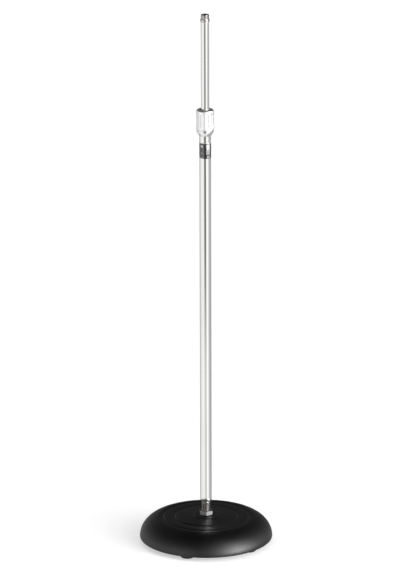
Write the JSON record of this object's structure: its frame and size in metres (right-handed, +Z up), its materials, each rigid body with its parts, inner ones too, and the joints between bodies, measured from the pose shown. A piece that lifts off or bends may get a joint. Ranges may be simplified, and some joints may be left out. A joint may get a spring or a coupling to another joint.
{
  "type": "microphone stand",
  "caption": "Straight round-base microphone stand with a domed cast base, two telescoping chromed tubes, a twist-grip clutch and a threaded top.",
  "frame": {"origin": "on the floor, under the middle of the base", "axes": "+Z up along the tubes, -Y towards the front (the middle of the label band), +X to the right seen from the front"},
  "size_m": [0.254, 0.254, 1.037],
  "materials": {
    "base_enamel": "semi-gloss black enamel over cast iron",
    "foot_rubber": "matt moulded",
    "fastener_steel": "zinc plated",
    "stud_chrome": "machined and chrome plated",
    "washer_black": "blackened spring steel",
    "nut_chrome": "nickel-chrome plated, turned corners",
    "tube_chrome": "polished chrome plate",
    "label_foil": "blank printed foil, dark with a light panel",
    "clutch_chrome": "polished chrome plate",
    "grip_satin": "satin chrome plate",
    "collet_brass": "machined",
    "bush_nylon": "natural moulded nylon"
  },
  "bodies": {
    "base": {"base_casting": "base_enamel", "foot_1": "foot_rubber", "foot_2": "foot_rubber", "foot_3": "foot_rubber", "foot_4": "foot_rubber", "foot_5": "foot_rubber", "foot_washers": "fastener_steel", "foot_screws": "fastener_steel", "tube_plug": "stud_chrome", "lower_tube": "tube_chrome", "rubber_bumper": "foot_rubber", "label_band": "label_foil", "clutch_ferrule": "clutch_chrome"},
    "bush": {"guide_bush": "bush_nylon"},
    "upper": {"upper_tube": "tube_chrome", "top_thread": "stud_chrome"},
    "collet_set": {"collet": "collet_brass", "thrust_washer": "bush_nylon"},
    "sleeve": {"clutch_sleeve": "grip_satin"},
    "spring_washer": {"lock_washer": "washer_black"},
    "nut": {"lock_nut": "nut_chrome"}
  },
  "joints": [
    {"name": "height_slide", "type": "slide", "parent": "base", "child": "bush", "axis": [0, 0, 1], "range_m": [-0.148, 0.563]},
    {"name": "upper_swivel", "type": "hinge", "parent": "bush", "child": "upper", "pos_m": [0, 0, 0.25], "axis": [0, 0, 1], "continuous": true},
    {"name": "clutch_rise", "type": "slide", "parent": "base", "child": "collet_set", "axis": [0, 0, 1], "range_m": [0, 0.00076]},
    {"name": "clutch_turn", "type": "hinge", "parent": "collet_set", "child": "sleeve", "pos_m": [0, 0, 0.835], "axis": [0, 0, 1], "range_deg": [0, 270]},
    {"name": "lock_nut_rise", "type": "slide", "parent": "base", "child": "spring_washer", "axis": [0, 0, 1], "range_m": [0, 0.00095]},
    {"name": "lock_nut_turn", "type": "hinge", "parent": "spring_washer", "child": "nut", "pos_m": [0, 0, 0.056], "axis": [0, 0, 1], "range_deg": [0, 360]}
  ],
  "couplings": [
    {"joint": "clutch_rise", "follows": "clutch_turn", "m_per_rad": 0.00015915},
    {"joint": "lock_nut_rise", "follows": "lock_nut_turn", "m_per_rad": 0.00014972}
  ]
}
